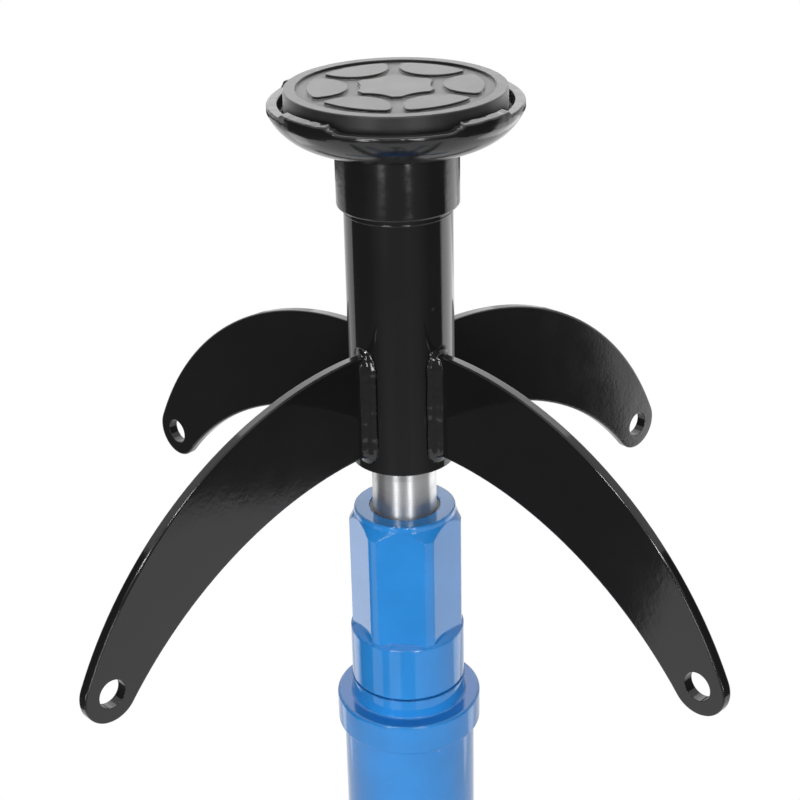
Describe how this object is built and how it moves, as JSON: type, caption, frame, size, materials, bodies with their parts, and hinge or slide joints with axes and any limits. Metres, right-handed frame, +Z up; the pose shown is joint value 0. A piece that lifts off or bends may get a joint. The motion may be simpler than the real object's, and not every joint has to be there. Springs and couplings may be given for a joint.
{
  "type": "car jack",
  "caption": "Tall telescopic hydraulic floor jack with a round rubber saddle, curved claw arms, a foot pump and a swivel-caster leg base.",
  "frame": {"origin": "on the floor, under the column's axis", "axes": "+Z up the column, -Y towards the pump pedal and the camera, +X to the right of the picture"},
  "size_m": [0.576, 0.576, 0.8805],
  "materials": {
    "black_paint": "gloss black paint",
    "blue_paint": "thick gloss blue enamel",
    "rubber": "moulded black rubber",
    "chrome": "ground and hard-chromed",
    "bronze": "turned bronze",
    "steel": "turned steel",
    "zinc_steel": "zinc-plated steel",
    "wheel_plastic": "black nylon"
  },
  "bodies": {
    "base": {"column_tube": "blue_paint", "column_head": "blue_paint", "column_wiper": "rubber", "tank_shell": "blue_paint", "tank_lid": "blue_paint", "breather_plug": "zinc_steel", "base_block": "blue_paint", "valve_balls": "chrome", "valve_plugs": "steel", "base_plate": "blue_paint", "block_screws": "zinc_steel", "leg_end_caps": "wheel_plastic", "leg_bolts": "zinc_steel", "caster_stems": "zinc_steel", "pump_barrel": "steel", "pump_spring": "steel", "pedal_bracket": "blue_paint", "pivot_pin": "steel", "handle_bar": "blue_paint", "leg_rear_right": "blue_paint", "leg_rear_left": "blue_paint", "leg_front_left": "blue_paint", "leg_front_right": "blue_paint"},
    "stage": {"stage_tube": "chrome", "stage_piston": "steel", "stage_piston_seal": "rubber", "hex_gland": "blue_paint", "rod_bush": "bronze", "rod_wiper": "rubber"},
    "ram": {"ram_rod": "chrome", "ram_piston": "steel", "ram_piston_seal": "rubber", "head_bolt": "steel"},
    "head": {"saddle_pad": "rubber", "saddle_dish": "black_paint", "head_tube": "black_paint", "head_bush": "bronze", "head_plug": "steel", "arm_welds": "black_paint", "arm_rear_right": "black_paint", "arm_rear_left": "black_paint", "arm_front_left": "black_paint", "arm_front_right": "black_paint"},
    "pedal": {"pedal_lever": "black_paint", "pedal_tread": "rubber"},
    "plunger": {"pump_plunger": "chrome"},
    "release": {"release_spindle": "steel", "release_pedal": "black_paint"},
    "caster_rear_right": {"caster_fork_rear_right": "zinc_steel", "caster_axle_rear_right": "zinc_steel"},
    "wheel_rear_right": {"caster_wheel_rear_right": "wheel_plastic"},
    "caster_rear_left": {"caster_fork_rear_left": "zinc_steel", "caster_axle_rear_left": "zinc_steel"},
    "wheel_rear_left": {"caster_wheel_rear_left": "wheel_plastic"},
    "caster_front_left": {"caster_fork_front_left": "zinc_steel", "caster_axle_front_left": "zinc_steel"},
    "wheel_front_left": {"caster_wheel_front_left": "wheel_plastic"},
    "caster_front_right": {"caster_fork_front_right": "zinc_steel", "caster_axle_front_right": "zinc_steel"},
    "wheel_front_right": {"caster_wheel_front_right": "wheel_plastic"}
  },
  "joints": [
    {"name": "stage_lift", "type": "slide", "parent": "base", "child": "stage", "axis": [0, 0, 1], "range_m": [0, 0.38]},
    {"name": "ram_lift", "type": "slide", "parent": "stage", "child": "ram", "axis": [0, 0, 1], "range_m": [0, 0.4525]},
    {"name": "head_swivel", "type": "hinge", "parent": "ram", "child": "head", "pos_m": [0, 0, 0.78], "axis": [0, 0, 1], "continuous": true},
    {"name": "pump_pedal", "type": "hinge", "parent": "base", "child": "pedal", "pos_m": [0, -0.075, 0.2373], "axis": [1, 0, 0], "range_deg": [0, 21], "stiffness_Nm_per_rad": 6, "springref_deg": -28.65},
    {"name": "plunger_stroke", "type": "slide", "parent": "base", "child": "plunger", "axis": [0, 0, -1], "range_m": [0, 0.0105], "deforming": ["pump_spring"]},
    {"name": "release_turn", "type": "hinge", "parent": "base", "child": "release", "pos_m": [0, -0.108, 0.11], "axis": [1, 0, 0], "range_deg": [0, 30], "stiffness_Nm_per_rad": 1, "springref_deg": -22.92},
    {"name": "caster_swivel_rear_right", "type": "hinge", "parent": "base", "child": "caster_rear_right", "pos_m": [0.24395, 0.24395, 0.072], "axis": [0, 0, 1], "continuous": true},
    {"name": "wheel_spin_rear_right", "type": "hinge", "parent": "caster_rear_right", "child": "wheel_rear_right", "pos_m": [0.25951, 0.25951, 0.03], "axis": [-0.7071, 0.7071, 0], "continuous": true},
    {"name": "caster_swivel_rear_left", "type": "hinge", "parent": "base", "child": "caster_rear_left", "pos_m": [-0.24395, 0.24395, 0.072], "axis": [0, 0, 1], "continuous": true},
    {"name": "wheel_spin_rear_left", "type": "hinge", "parent": "caster_rear_left", "child": "wheel_rear_left", "pos_m": [-0.25951, 0.25951, 0.03], "axis": [-0.7071, -0.7071, 0], "continuous": true},
    {"name": "caster_swivel_front_left", "type": "hinge", "parent": "base", "child": "caster_front_left", "pos_m": [-0.24395, -0.24395, 0.072], "axis": [0, 0, 1], "continuous": true},
    {"name": "wheel_spin_front_left", "type": "hinge", "parent": "caster_front_left", "child": "wheel_front_left", "pos_m": [-0.25951, -0.25951, 0.03], "axis": [0.7071, -0.7071, 0], "continuous": true},
    {"name": "caster_swivel_front_right", "type": "hinge", "parent": "base", "child": "caster_front_right", "pos_m": [0.24395, -0.24395, 0.072], "axis": [0, 0, 1], "continuous": true},
    {"name": "wheel_spin_front_right", "type": "hinge", "parent": "caster_front_right", "child": "wheel_front_right", "pos_m": [0.25951, -0.25951, 0.03], "axis": [0.7071, 0.7071, 0], "continuous": true}
  ],
  "couplings": [
    {"joint": "plunger_stroke", "follows": "pump_pedal", "m_per_rad": 0.028}
  ]
}
